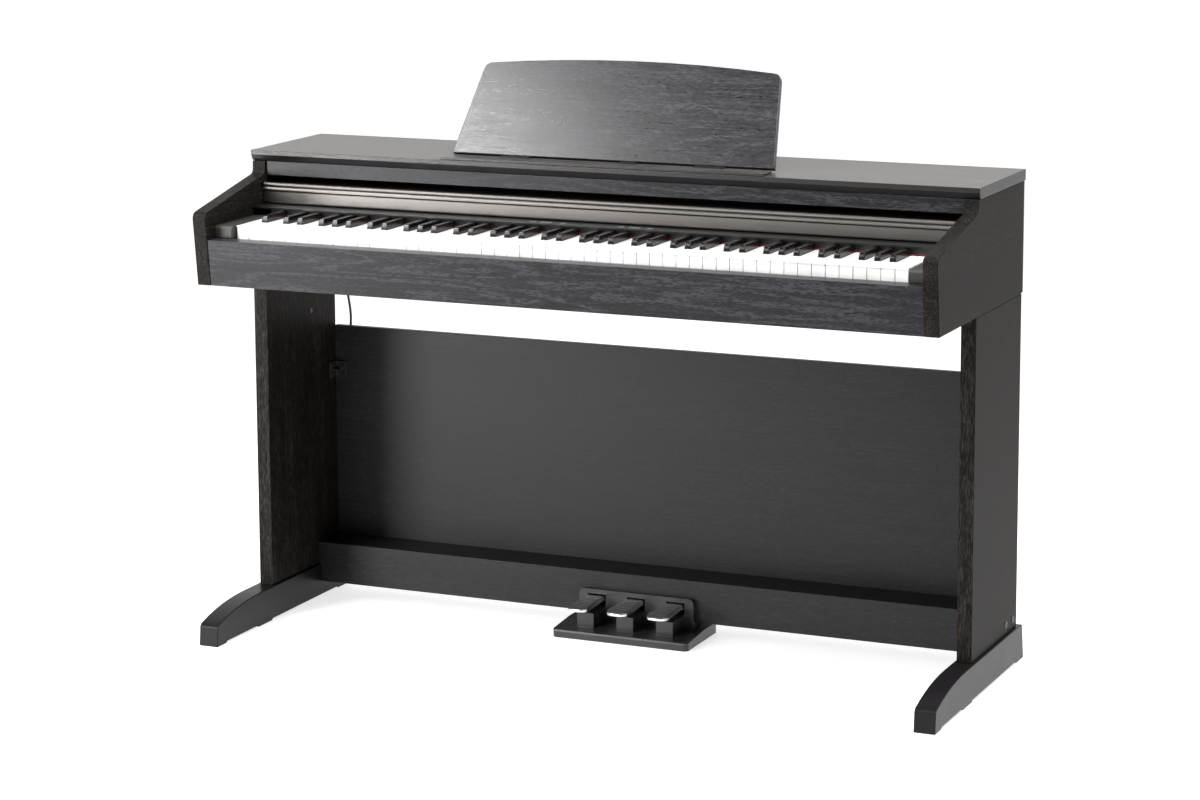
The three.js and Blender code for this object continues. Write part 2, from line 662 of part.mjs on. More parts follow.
place('pedal_housing', pedalHousing(), 'darkPlastic');
for (const [name, x] of PEDAL_ROWS) {
  place(name, pedal(x), 'metal');
}

// ---------- pedal cable ----------
const CABLE_D = 4.5;
const CABLE_SIDES = 8;
const CABLE_STEPS = 80;
const CABLE_ROUTE = [
  [-621, 205, 642.5], [-621, 205, 622], [-620.5, 209, 594], [-620, 220, 556], [-622, 232.5, 518],
  [-624, 234, 480], [-624, 233.5, 400], [-623, 233, 300], [-623, 233, 200], [-623, 233, 120],
  [-622.5, 233, 82], [-621, 232, 63], [-614, 225.5, 51], [-602, 217, 45.5], [-580, 211, 43.5],
  [-540, 206, 43.5], [-460, 203, 43.5], [-380, 206, 43.5], [-300, 204, 43.5], [-220, 201, 43.5],
  [-165, 195, 43.8], [-132, 184, 44.5], [-113, 178, 45], [-98.4, 176, 45],
];

function pedalCable() {
  const points = CABLE_ROUTE.map((point) => new THREE.Vector3(...point));
  const curve = new THREE.CatmullRomCurve3(points, false, 'centripetal');
  const corners = Array.from({ length: CABLE_SIDES }, (_, i) => {
    const a = 2 * Math.PI * i / CABLE_SIDES;
    return [CABLE_D / 2 * Math.cos(a), CABLE_D / 2 * Math.sin(a)];
  });
  return new THREE.ExtrudeGeometry(outline(corners), {
    steps: CABLE_STEPS, extrudePath: curve, bevelEnabled: false,
  });
}

place('pedal_cable', pedalCable(), 'darkPlastic');

export default group;
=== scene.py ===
"""Digital piano on a panel stand: finer pieces, materials, floor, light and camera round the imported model.

Metres. +Z is up, the player sits on the -Y side and +X is the treble end.
"""
import json
import math

import bmesh
import bpy
from mathutils import Matrix, Vector


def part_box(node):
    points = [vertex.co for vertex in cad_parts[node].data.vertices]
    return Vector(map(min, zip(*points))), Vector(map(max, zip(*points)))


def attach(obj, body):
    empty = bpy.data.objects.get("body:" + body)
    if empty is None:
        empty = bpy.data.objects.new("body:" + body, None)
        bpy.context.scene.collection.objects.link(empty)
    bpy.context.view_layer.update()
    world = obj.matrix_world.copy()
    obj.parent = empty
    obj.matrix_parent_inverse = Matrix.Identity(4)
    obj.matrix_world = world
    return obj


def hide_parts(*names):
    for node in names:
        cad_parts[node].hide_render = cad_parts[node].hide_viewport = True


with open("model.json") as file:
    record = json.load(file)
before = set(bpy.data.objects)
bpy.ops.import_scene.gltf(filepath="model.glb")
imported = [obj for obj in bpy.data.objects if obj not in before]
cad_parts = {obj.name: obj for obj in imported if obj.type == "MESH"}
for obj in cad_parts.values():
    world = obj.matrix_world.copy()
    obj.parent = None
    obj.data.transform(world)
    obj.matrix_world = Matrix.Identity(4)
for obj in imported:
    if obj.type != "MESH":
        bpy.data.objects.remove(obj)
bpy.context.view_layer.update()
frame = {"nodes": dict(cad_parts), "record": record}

RECORD = frame["record"]
BODY_OF = {node: body for body, nodes in RECORD["behaviour"]["bodies"].items() for node in nodes}
SLOT_OF = {part["node"]: part["material_slot"] for part in RECORD["subparts"]}
CABINET = "cabinet_and_stand"
ALONG_X, ALONG_Y, ALONG_Z = 0, 1, 2
SIDES = (("left", -1), ("right", 1))
MM = 0.001


# ---------- camera ----------
CAMERA_PLACE = (2.24698, -5.12322, 1.58664)
CAMERA_YAW = math.radians(23.794)
CAMERA_PITCH = math.radians(-9.422)
CAMERA_ROLL = math.radians(-0.257)
CAMERA_LENS = 99.1
CAMERA_SHIFT_Y = -0.1
SENSOR_WIDTH = 36
VIEW_DISTANCE = 100


def add_camera():
    data = bpy.data.cameras.new("camera")
    data.lens = CAMERA_LENS
    data.sensor_width = SENSOR_WIDTH
    data.shift_y = CAMERA_SHIFT_Y
    data.clip_end = VIEW_DISTANCE
    forward = Vector((
        -math.sin(CAMERA_YAW) * math.cos(CAMERA_PITCH),
        math.cos(CAMERA_YAW) * math.cos(CAMERA_PITCH),
        math.sin(CAMERA_PITCH),
    ))
    level = Vector((math.cos(CAMERA_YAW), math.sin(CAMERA_YAW), 0))
    upward = level.cross(forward)
    right = level * math.cos(CAMERA_ROLL) + upward * math.sin(CAMERA_ROLL)
    top = upward * math.cos(CAMERA_ROLL) - level * math.sin(CAMERA_ROLL)
    turn = Matrix((right, top, -forward)).transposed().to_4x4()
    camera = bpy.data.objects.new("camera", data)
    camera.matrix_world = Matrix.Translation(CAMERA_PLACE) @ turn
    bpy.context.scene.collection.objects.link(camera)
    bpy.context.scene.camera = camera


# ---------- shader building ----------
class Shader:
    """A node material being put together. Each method adds nodes and returns an output socket."""

    def __init__(self, name, uniform=None):
        self.material = bpy.data.materials.new(name)
        self.material.use_nodes = True
        self.tree = self.material.node_tree
        self.surface = self.tree.nodes["Principled BSDF"]
        for socket, value in (uniform or {}).items():
            self.surface.inputs[socket].default_value = value

    def node(self, kind, inputs, **settings):
        made = self.tree.nodes.new(kind)
        for key, value in settings.items():
            setattr(made, key, value)
        for key, value in inputs.items():
            if isinstance(value, bpy.types.NodeSocket):
                self.tree.links.new(value, made.inputs[key])
            else:
                made.inputs[key].default_value = value
        return made

    def noise(self, scale, detail=4.0, roughness=0.5, distortion=0.0):
        place = self.node("ShaderNodeTexCoord", {}).outputs["Object"]
        scaled = self.node("ShaderNodeMapping", {"Vector": place, "Scale": scale}).outputs["Vector"]
        return self.node("ShaderNodeTexNoise", {
            "Vector": scaled, "Scale": 1.0, "Detail": detail, "Roughness": roughness,
            "Distortion": distortion,
        }).outputs[0]

    def math(self, operation, a, b=0.0):
        return self.node("ShaderNodeMath", {0: a, 1: b}, operation=operation).outputs[0]

    def weighted(self, *parts):
        """The sum of the given values, each times its own weight."""
        shares = [self.math("MULTIPLY", value, weight) for value, weight in parts]
        total = shares[0]
        for share in shares[1:]:
            total = self.math("ADD", total, share)
        return total

    def mapped(self, value, low, high, source=(0.0, 1.0)):
        return self.node("ShaderNodeMapRange", {
            "Value": value, "From Min": source[0], "From Max": source[1], "To Min": low, "To Max": high,
        }).outputs[0]

    def ramp(self, value, *stops):
        made = self.node("ShaderNodeValToRGB", {"Fac": value})
        elements = made.color_ramp.elements
        while len(elements) < len(stops):
            elements.new(0.5)
        for element, (position, colour) in zip(elements, stops):
            element.position = position
            element.color = (*colour, 1)
        return made.outputs["Color"]

    def banded(self, face, edge):
        """The face colour on level faces and the edge colour on upright ones."""
        normal = self.node("ShaderNodeTexCoord", {}).outputs["Normal"]
        parts = self.node("ShaderNodeSeparateXYZ", {"Vector": normal})
        level = self.mapped(parts.outputs["Z"], 0.0, 1.0, (0.45, 0.9))
        return self.node("ShaderNodeMixRGB", {"Fac": level, "Color1": (*edge, 1), "Color2": face}).outputs[0]

    def bump(self, height, distance, strength=1.0):
        normal = self.node("ShaderNodeBump", {"Height": height, "Distance": distance, "Strength": strength})
        self.link(normal.outputs["Normal"], "Normal")

    def link(self, output, socket):
        self.tree.links.new(output, self.surface.inputs[socket])


def cube_scale(size):
    return (1 / size,) * 3


# ---------- materials ----------
# length along the grain and width across it of the marks in the woodgrain
PORE = (0.0105, 0.0019)
STREAK = (0.09, 0.0034)
BROAD_BAND = (0.60, 0.035)
ARCH = (0.62, 0.060)
ARCH_WAVES = 70.0


def laminate(name, grain, tones, gloss, figure=0.0, ior=1.45, edge=None, relief=0.00011):
    """Printed and embossed woodgrain. grain is the axis that it runs along, tones its dark and light colours,
    figure the weight of its arches, and edge the colour of the band round a horizontal board."""
    shader = Shader(name, {"IOR": ior})
    dark, light = tones

    def marks(size, **settings):
        length, width = size
        return shader.noise(tuple(1 / (length if axis == grain else width) for axis in range(3)), **settings)

    pores = marks(PORE, detail=2, roughness=0.6)
    streaks = marks(STREAK, detail=5, roughness=0.66)
    broad = marks(BROAD_BAND, detail=2)
    field = marks(ARCH, detail=2, distortion=0.4)
    arches = shader.math("SINE", shader.math("MULTIPLY", field, ARCH_WAVES))
    arches = shader.math("POWER", shader.mapped(arches, 0, 1, (-1.0, 1.0)), 3.0)
    arches = shader.math("MULTIPLY", arches, shader.mapped(pores, 0.3, 1.3, (0.35, 0.65)))
    depth = shader.weighted((pores, 0.52), (streaks, 0.33), (broad, 0.15), (arches, figure))
    middle = tuple((d * 3 + l) / 4 for d, l in zip(dark, light))
    tone = shader.ramp(depth, (0.38, dark), (0.52, middle), (0.64, light))
    if edge:
        tone = shader.banded(tone, edge)
    shader.link(tone, "Base Color")
    shader.link(shader.mapped(depth, gloss - 0.05, gloss + 0.09, (0.35, 0.65)), "Roughness")
    shader.bump(depth, relief)
    return shader.material


def tone_range(colour, darker, lighter):
    """A colour times each of two factors, as the two stops of a ramp."""
    return (0.3, tuple(c * darker for c in colour)), (0.7, tuple(min(1, c * lighter) for c in colour))


def moulded(name, colour, gloss, spread=0.06, grain=0.0006, depth=0.00004, uniform=None):
    """Moulded plastic or paint: fine spark-eroded texture and slow changes of tone and gloss."""
    shader = Shader(name, {"IOR": 1.48, **(uniform or {})})
    slow = shader.noise(cube_scale(0.06), detail=3)
    fine = shader.noise(cube_scale(grain), detail=2)
    shader.link(shader.ramp(slow, *tone_range(colour, 0.88, 1.10)), "Base Color")
    shader.link(shader.mapped(slow, gloss - spread / 2, gloss + spread / 2), "Roughness")
    shader.bump(fine, depth)
    return shader.material


def brushed(name, colour, gloss):
    """Satin metal with fine lines along X."""
    shader = Shader(name, {"Metallic": 1.0})
    lines = shader.noise((12, 1500, 1500), detail=3)
    slow = shader.noise((3, 30, 30), detail=2)
    tone = shader.weighted((lines, 0.6), (slow, 0.4))
    shader.link(shader.ramp(tone, *tone_range(colour, 0.82, 1.15)), "Base Color")
    shader.link(shader.mapped(lines, gloss - 0.05, gloss + 0.08), "Roughness")
    shader.bump(lines, 0.00003)
    return shader.material


# both felt tones are painted shade: far darker than the real red felt, standing for the shadow the black keys
# and the panel lip cast on it
SHADED_FELT_DARK = (0.11, 0.002, 0.004)
SHADED_FELT_LIGHT = (0.28, 0.006, 0.012)


def felt():
    shader = Shader("red_felt", {"Sheen Weight": 0.25, "Sheen Roughness": 0.5, "Roughness": 0.95})
    fibres = shader.noise((900, 2600, 2600), detail=5, roughness=0.7)
    clumps = shader.noise(cube_scale(0.005), detail=4)
    tone = shader.weighted((fibres, 0.6), (clumps, 0.4))
    # painted shade: the fibre ramp runs between the darkened felt tones
    shader.link(shader.ramp(tone, (0.3, SHADED_FELT_DARK), (0.7, SHADED_FELT_LIGHT)), "Base Color")
    shader.bump(fibres, 0.0003)
    return shader.material


def circuit():
    """Green solder mask with a regular pattern of tracks."""
    shader = Shader("circuit_board", {"IOR": 1.5, "Coat Weight": 0.4})
    place = shader.node("ShaderNodeTexCoord", {}).outputs["Object"]
    tracks = shader.node("ShaderNodeTexBrick", {
        "Vector": place, "Scale": 60.0, "Mortar Size": 0.02,
        "Color1": (0.012, 0.10, 0.035, 1), "Color2": (0.016, 0.13, 0.045, 1), "Mortar": (0.03, 0.22, 0.07, 1),
    })
    shader.link(tracks.outputs["Color"], "Base Color")
    shader.link(shader.mapped(shader.noise(cube_scale(0.01)), 0.35, 0.5), "Roughness")
    return shader.material


# dark and light colour of each woodgrain
CHARCOAL = ((0.0018, 0.0019, 0.0024), (0.0290, 0.0294, 0.0340))
BROWN = ((0.0030, 0.0027, 0.0025), (0.0380, 0.0325, 0.0290))
REST_TONES = ((0.0035, 0.0035, 0.0042), (0.0250, 0.0250, 0.0290))
LID_TONES = ((0.014, 0.0128, 0.0120), (0.115, 0.104, 0.097))
STAND_TONES = ((0.0060, 0.0055, 0.0060), (0.0210, 0.0200, 0.0220))
LID_EDGE = (0.004, 0.004, 0.0045)

MATERIALS = {
    "woodgrain_laminate": laminate("laminate_along_x", ALONG_X, CHARCOAL, 0.37, figure=0.15, ior=1.30),
    "rest": laminate("laminate_rest", ALONG_X, REST_TONES, 0.31, figure=0.06, relief=0.00008),
    "lid": laminate("laminate_lid", ALONG_X, LID_TONES, 0.34, figure=0.025, edge=LID_EDGE, relief=0.00022),
    "cheeks": laminate("laminate_along_y", ALONG_Y, BROWN, 0.44, ior=1.12, relief=0.00026),
    "legs": laminate("laminate_along_z", ALONG_Z, BROWN, 0.44, ior=1.12, relief=0.00026),
    "stand_x": laminate("stand_laminate_along_x", ALONG_X, STAND_TONES, 0.46, ior=1.34),
    "foot_plastic": moulded("foot_plastic", (0.0075, 0.0066, 0.0075), 0.34, uniform={"IOR": 1.25}),
    "cover_satin": brushed("cover_satin", (0.120, 0.112, 0.106), 0.38),
    "control_black": moulded("control_black", (0.008, 0.008, 0.009), 0.30),
    "button_grey": moulded("button_grey", (0.09, 0.09, 0.088), 0.5),
    "end_block_grey": moulded("end_block_grey", (0.030, 0.030, 0.028), 0.46, uniform={"IOR": 1.35}),
    "white_key": moulded(
        "white_key", (0.83, 0.83, 0.812), 0.20, 0.03, depth=0.00001, uniform={"Coat Weight": 0.3}),
    "black_key": moulded("black_key", (0.003, 0.0027, 0.0027), 0.20, 0.04, depth=0.00001),
    "red_felt": felt(),
    "key_chassis": moulded("key_chassis", (0.012, 0.012, 0.013), 0.5),
    "chassis_steel": moulded("black_steel", (0.010, 0.010, 0.011), 0.38, 0.1),
    "speaker_black": moulded("speaker_black", (0.011, 0.011, 0.012), 0.55),
    "circuit_board": circuit(),
    "pedal_housing_gloss": moulded("pedal_housing", (0.022, 0.022, 0.024), 0.24, 0.06, depth=0.00002),
    "pedal_metal": brushed("pedal_metal", (0.74, 0.75, 0.76), 0.24),
    "cable_rubber": moulded("cable_rubber", (0.012, 0.012, 0.012), 0.55),
    "screw_dark": moulded("screw_cap", (0.006, 0.006, 0.006), 0.4),
    "socket_metal": brushed("socket_metal", (0.55, 0.55, 0.56), 0.25),
}
# nodes whose material is a special version of the one for their slot
LOOK_OF = {
    "lid": "lid", "rest_ledge": "lid", "music_rest": "rest", "cheek_left": "cheeks", "cheek_right": "cheeks",
    "leg_left": "legs", "leg_right": "legs", "bottom_board": "stand_x", "rear_panel": "stand_x",
    "back_panel": "stand_x", "stretcher": "stand_x",
}


def material_for(node):
    return MATERIALS[LOOK_OF.get(node, SLOT_OF[node])]


# ---------- mesh building ----------
SHARP_ANGLE = 35
BEVEL_ANGLE = 25
FLAT_ANGLE = 0.6
MERGE_DISTANCE = 0.02 * MM


def add_piece(mesh, name, material, body, replaced=(), sharp=SHARP_ANGLE):
    """Turns a bmesh into a smooth-shaded object that rides on a body."""
    bmesh.ops.recalc_face_normals(mesh, faces=mesh.faces)
    data = bpy.data.meshes.new(name)
    mesh.to_mesh(data)
    mesh.free()
    data.polygons.foreach_set("use_smooth", [True] * len(data.polygons))
    data.set_sharp_from_angle(angle=math.radians(sharp))
    data.materials.append(material)
    piece = bpy.data.objects.new(name, data)
    bpy.context.scene.collection.objects.link(piece)
    weighted = piece.modifiers.new("even_normals", "WEIGHTED_NORMAL")
    weighted.keep_sharp = True
    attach(piece, body)
    if replaced:
        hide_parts(*replaced)
    return piece


def round_edges(mesh, radius, segments):
    edges = [e for e in mesh.edges if e.is_manifold and e.calc_face_angle() > math.radians(BEVEL_ANGLE)]
    bmesh.ops.bevel(
        mesh, geom=edges, offset=radius, segments=segments, profile=0.5, affect="EDGES", clamp_overlap=True)


def refined(node, radius, segments):
    """The node's own shape with whole flat faces and rounded edges, in place of the node."""
    mesh = bmesh.new()
    mesh.from_mesh(frame["nodes"][node].data)
    bmesh.ops.remove_doubles(mesh, verts=mesh.verts, dist=MERGE_DISTANCE)
    bmesh.ops.dissolve_limit(mesh, angle_limit=math.radians(FLAT_ANGLE), verts=mesh.verts, edges=mesh.edges)
    round_edges(mesh, radius, segments)
    return add_piece(mesh, f"{node}_shell", material_for(node), BODY_OF[node], (node,))


def add_loft(mesh, rings):
    """Joins equal rings of points with quads and closes both ends."""
    rows = [[mesh.verts.new(point) for point in ring] for ring in rings]
    count = len(rows[0])
    for low, high in zip(rows, rows[1:]):
        for i in range(count):
            j = (i + 1) % count
            mesh.faces.new((low[i], low[j], high[j], high[i]))
    mesh.faces.new(rows[0])
    mesh.faces.new(reversed(rows[-1]))


def add_prism(mesh, outline, z0, z1):
    add_loft(mesh, [[(x, y, z) for x, y in outline] for z in (z0, z1)])


def add_block(mesh, x0, x1, y0, y1, z0, z1):
    add_prism(mesh, [(x0, y0), (x1, y0), (x1, y1), (x0, y1)], z0, z1)


def add_lathe(mesh, profile, centre, turn=Matrix.Identity(3), steps=32):
    """A closed profile of (radius, height) pairs turned about an axis through centre."""
    rings = []
    for step in range(steps):
        angle = 2 * math.pi * step / steps
        rings.append([
            mesh.verts.new(Vector(centre) + turn @ Vector((r * math.cos(angle), r * math.sin(angle), h)))
            for r, h in profile])
    for here, there in zip(rings, rings[1:] + rings[:1]):
        for i in range(len(profile)):
            j = (i + 1) % len(profile)
            mesh.faces.new((here[i], there[i], there[j], here[j]))
    bmesh.ops.remove_doubles(mesh, verts=mesh.verts, dist=0.005 * MM)


# ---------- pedal cable ----------
CABLE_DIAMETER = 4.5 * MM
CABLE_ROUTE = [Vector(point) * MM for point in (
    (-621, 205, 642.5), (-621, 205, 622), (-620.5, 209, 594), (-620, 220, 556), (-622, 232.5, 518),
    (-624, 234, 480), (-624, 233.5, 400), (-623, 233, 300), (-623, 233, 200), (-623, 233, 120),
    (-622.5, 233, 82), (-621, 232, 63), (-614, 225.5, 51), (-602, 217, 45.5), (-580, 211, 43.5),
    (-540, 206, 43.5), (-460, 203, 43.5), (-380, 206, 43.5), (-300, 204, 43.5), (-220, 201, 43.5),
    (-165, 195, 43.8), (-132, 184, 44.5), (-113, 178, 45), (-98.4, 176, 45),
)]


def smooth_route(points, steps):
    """Points on the centripetal Catmull-Rom curve through the given ones."""
    ends = [points[0] * 2 - points[1], *points, points[-1] * 2 - points[-2]]
    route = []
    for p0, p1, p2, p3 in zip(ends, ends[1:], ends[2:], ends[3:]):
        t1 = math.sqrt((p1 - p0).length)
        t2 = t1 + math.sqrt((p2 - p1).length)
        t3 = t2 + math.sqrt((p3 - p2).length)
        for step in range(steps):
            t = t1 + (t2 - t1) * step / steps
            a1 = p0 * ((t1 - t) / t1) + p1 * (t / t1)
            a2 = p1 * ((t2 - t) / (t2 - t1)) + p2 * ((t - t1) / (t2 - t1))
            a3 = p2 * ((t3 - t) / (t3 - t2)) + p3 * ((t - t2) / (t3 - t2))
            b1 = a1 * ((t2 - t) / t2) + a2 * (t / t2)
            b2 = a2 * ((t3 - t) / (t3 - t1)) + a3 * ((t - t1) / (t3 - t1))
            route.append(b1 * ((t2 - t) / (t2 - t1)) + b2 * ((t - t1) / (t2 - t1)))
    return [*route, points[-1]]


def add_cable():
    route = smooth_route(CABLE_ROUTE, 8)
    curve = bpy.data.curves.new("pedal_cable_lead", "CURVE")
    curve.dimensions = "3D"
    curve.bevel_depth = CABLE_DIAMETER / 2
    curve.bevel_resolution = 3
    curve.use_fill_caps = True
    spline = curve.splines.new("POLY")
    spline.points.add(len(route) - 1)
    for target, point in zip(spline.points, route):
        target.co = (*point, 1)
    curve.materials.append(MATERIALS["cable_rubber"])
    cable = bpy.data.objects.new("pedal_cable_lead", curve)
    bpy.context.scene.collection.objects.link(cable)
    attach(cable, CABINET)
    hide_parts("pedal_cable")


def add_cable_grommet():
    """The tapered sleeve where the cable leaves the cabinet's underside."""
    mesh = bmesh.new()
    bore = CABLE_DIAMETER / 2
    flange, shoulder, tip = 6 * MM, 4.2 * MM, bore + 0.7 * MM
    bottom = -20 * MM
    profile = [(bore, 0), (flange, 0), (flange, -2 * MM), (shoulder, -4 * MM), (tip, bottom), (bore, bottom)]
    top = Vector((CABLE_ROUTE[0].x, CABLE_ROUTE[0].y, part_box("bottom_board")[0].z))
    add_lathe(mesh, profile, top)
    add_piece(mesh, "cable_grommet", MATERIALS["cable_rubber"], CABINET)


# ---------- keys ----------
KEY_GAP = 0.6 * MM
WHITE_COUNT = 52
FIRST_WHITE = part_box("keys_white_a0_b1")[0].x - KEY_GAP / 2
WHITE_PITCH = (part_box("keys_white_c7_c8")[1].x + KEY_GAP / 2 - FIRST_WHITE) / WHITE_COUNT
WHITE_LOW, WHITE_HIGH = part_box("key_d4")
BLACK_LOW, BLACK_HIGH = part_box("key_g_sharp_4")
BLACK_HALF = (BLACK_HIGH.x - BLACK_LOW.x) / 2
LETTERS = "CDEFGAB"
BLACK_SHIFT = {"C": -1.9 * MM, "D": 1.9 * MM, "F": -2.9 * MM, "G": 0.0, "A": 2.9 * MM}
CAP_THICKNESS = 2.4 * MM
CAP_LIP = 1.1 * MM
CAP_SIDE = 0.35 * MM
WHITE_WALL = 8 * MM
WHITE_DEPTH = 10 * MM
BLACK_TOP_REAR = -77.5 * MM
BLACK_LEAN = 0.6 * MM
BLACK_CORNER = 1.9 * MM
# distance behind the front, drop of the top, lean of each side and radius of the upper corners, in mm
BLACK_STATIONS = (
    (0, 10.8, 0.1, 0.9), (0.9, 6.2, 0.25, 1.2), (1.8, 2.6, 0.4, 1.6), (2.8, 1.0, 0.5, 1.8),
    (4.2, 0.25, 0.6, 1.9), (6.5, 0, 0.6, 1.9),
)


def letter_of(index):
    return LETTERS[(index + 5) % 7]


def octave_of(index):
    return (index + 5) // 7


def black_after(index):
    """Where the black key that follows a white key stands, or None."""
    letter = letter_of(index)
    if letter not in BLACK_SHIFT or not 0 <= index < WHITE_COUNT - 1:
        return None
    return FIRST_WHITE + (index + 1) * WHITE_PITCH + BLACK_SHIFT[letter]


def add_white_key(mesh, index):
    """A cap with room for its black neighbours, over a body that is set in from the cap's lip and sides."""
    x0 = FIRST_WHITE + index * WHITE_PITCH + KEY_GAP / 2
    x1 = x0 + WHITE_PITCH - KEY_GAP
    left, right = black_after(index - 1), black_after(index)
    notch = BLACK_HALF + 1 * MM
    tail0 = x0 if left is None else left + notch
    tail1 = x1 if right is None else right - notch
    front, rear, top = WHITE_LOW.y, WHITE_HIGH.y, WHITE_HIGH.z
    shoulder = BLACK_LOW.y - 1.5 * MM
    outline = [(x0, front), (x1, front), (x1, shoulder), (tail1, shoulder), (tail1, rear), (tail0, rear),
               (tail0, shoulder), (x0, shoulder)]
    # where there is no notch, two of the points are the same
    outline = [p for n, p in enumerate(outline) if (Vector(p) - Vector(outline[n - 1])).length > 0.05 * MM]
    under, floor, wall = top - CAP_THICKNESS, top - WHITE_DEPTH, front + WHITE_WALL
    add_prism(mesh, outline, under, top)
    add_block(mesh, x0 + CAP_SIDE, x1 - CAP_SIDE, front + CAP_LIP, wall, WHITE_LOW.z, under)
    add_block(mesh, x0 + CAP_SIDE, x1 - CAP_SIDE, wall, shoulder - CAP_SIDE, floor, under)
    add_block(mesh, tail0 + CAP_SIDE, tail1 - CAP_SIDE, shoulder - CAP_SIDE, rear, floor, under)


def black_ring(x, y, top, half_top, corner):
    """One cross-section of a black key: sides that lean in and round upper corners."""
    foot = BLACK_LOW.z + 2 * MM
    ring = [(x - BLACK_HALF, y, foot)]
    for side, turns in ((-1, (90, 60, 30, 0)), (1, (0, 30, 60, 90))):
        for turn in turns:
            across = math.sin(math.radians(turn)) * corner
            above = math.cos(math.radians(turn)) * corner
            ring.append((x + side * (half_top - corner + across), y, top - corner + above))
    ring.append((x + BLACK_HALF, y, foot))
    return ring


def add_black_key(mesh, index):
    """A cap with a sloping front, and a narrower body that reaches back to the pivot."""
    x = black_after(index)
    front, top = BLACK_LOW.y, BLACK_HIGH.z
    narrow = BLACK_HALF - BLACK_LEAN
    rings = [
        black_ring(x, front + back * MM, top - drop * MM, BLACK_HALF - lean * MM, corner * MM)
        for back, drop, lean, corner in BLACK_STATIONS]
    rings.append(black_ring(x, BLACK_TOP_REAR, top, narrow, BLACK_CORNER))
    add_loft(mesh, rings)
    bottom, body_top = BLACK_LOW.z + 1 * MM, WHITE_HIGH.z - 1 * MM
    add_block(mesh, x - narrow, x + narrow, BLACK_TOP_REAR, BLACK_HIGH.y, bottom, body_top)


def add_key_set(node, indexes, add_key, slot):
    mesh = bmesh.new()
    for index in indexes:
        add_key(mesh, index)
    if slot == "white_key":
        round_edges(mesh, 0.45 * MM, 2)
    add_piece(mesh, f"{node}_finish", MATERIALS[slot], BODY_OF[node], (node,))


def add_keys():
    """The sets of joined keys, then the middle octave key by key."""
    for name, octaves in (("a0_b1", (0, 1)), ("c2_b3", (2, 3)), ("c5_b6", (5, 6)), ("c7_c8", (7, 8))):
        whites = [i for i in range(WHITE_COUNT) if octave_of(i) in octaves]
        blacks = [i for i in whites if black_after(i) is not None]
        add_key_set(f"keys_white_{name}", whites, add_white_key, "white_key")
        add_key_set(f"keys_black_{name}", blacks, add_black_key, "black_key")
    for index in [i for i in range(WHITE_COUNT) if octave_of(i) == 4]:
        letter = letter_of(index).lower()
        add_key_set(f"key_{letter}4", [index], add_white_key, "white_key")
        if black_after(index) is not None:
            add_key_set(f"key_{letter}_sharp_4", [index], add_black_key, "black_key")


# ---------- pedals ----------
PEDAL_NECK = 78 * MM
NECK_NARROWING = 0.8
PEDAL_THICKNESS = 7.9
# distance behind the toe in mm, share of the full half width, drop of the top and thickness in mm
PEDAL_STATIONS = (
    (0.0, 0.24, 6.2, 1.4), (0.8, 0.44, 4.7, 3.0), (2.2, 0.62, 3.4, 4.4), (4.5, 0.80, 2.2, 5.7),
    (8.0, 0.94, 1.15, 6.8), (12.5, 1.0, 0.45, 7.5), (18.0, 1.0, 0.1, PEDAL_THICKNESS),
    (25.0, 0.985, 0.0, PEDAL_THICKNESS),
)


def pedal_ring(middle, y, half, top, thickness):
    """One cross-section of a pedal: flat below, with both upper corners rounded off."""
    edge = min(2.4 * MM, thickness * 0.35)
    bottom = top - thickness
    return [
        (middle - half, y, bottom), (middle + half, y, bottom), (middle + half, y, top - edge),
        (middle + half - edge * 0.3, y, top - edge * 0.3), (middle + half - edge, y, top),
        (middle - half + edge, y, top), (middle - half + edge * 0.3, y, top - edge * 0.3),
        (middle - half, y, top - edge)]


def add_pedal(node):
    """A cast pedal: a crowned blade that widens to a rounded, turned-down toe."""
    low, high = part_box(node)
    middle = (low.x + high.x) / 2
    half_tip = (high.x - low.x) / 2
    toe, rear, top = low.y, high.y, high.z
    rings = [
        pedal_ring(middle, toe + back * MM, half_tip * share, top - drop * MM, thickness * MM)
        for back, share, drop, thickness in PEDAL_STATIONS]
    for y in (toe + PEDAL_NECK, rear):
        rings.append(pedal_ring(middle, y, half_tip * NECK_NARROWING, top, PEDAL_THICKNESS * MM))
    mesh = bmesh.new()
    add_loft(mesh, rings)
    add_piece(
        mesh, f"{node}_blade", MATERIALS["pedal_metal"], BODY_OF[node], (node,), sharp=55)


# ---------- small fittings ----------
# radius, height and dish of each kind of cap or screw head
STRETCHER_SCREW_CAP = (6.5 * MM, 0.8 * MM, 0.5 * MM)
LEG_CAP = (5.0 * MM, 0.8 * MM, 0.4 * MM)
BRACKET_SCREW = (3.5 * MM, 1.8 * MM, 0.8 * MM)
REAR_SCREW = (4.2 * MM, 1.5 * MM, 0.7 * MM)
STRETCHER_SCREWS_Y = (158 * MM, 198 * MM)
STRETCHER_SCREWS_Z = 79 * MM
LEG_CAP_YZ = (126 * MM, 542 * MM)
BRACKET_THICKNESS = 3 * MM


def add_screw(name, centre, turn, size):
    """A dished cap or screw head that stands on a surface."""
    radius, height, dish = size
    edge = min(0.4 * MM, height / 2)
    profile = [(0, 0), (radius, 0), (radius, height - edge), (radius - edge, height), (radius * 0.5, height),
               (radius * 0.35, height - dish), (0, height - dish)]
    mesh = bmesh.new()
    add_lathe(mesh, profile, centre, turn, 24)
    add_piece(mesh, name, MATERIALS["screw_dark"], CABINET)


def facing(axis, sign):
    """The turn that points a lathe's axis along +X, +Y or +Z, or the other way."""
    target = Vector([sign if i == axis else 0 for i in range(3)])
    return Vector((0, 0, 1)).rotation_difference(target).to_matrix()


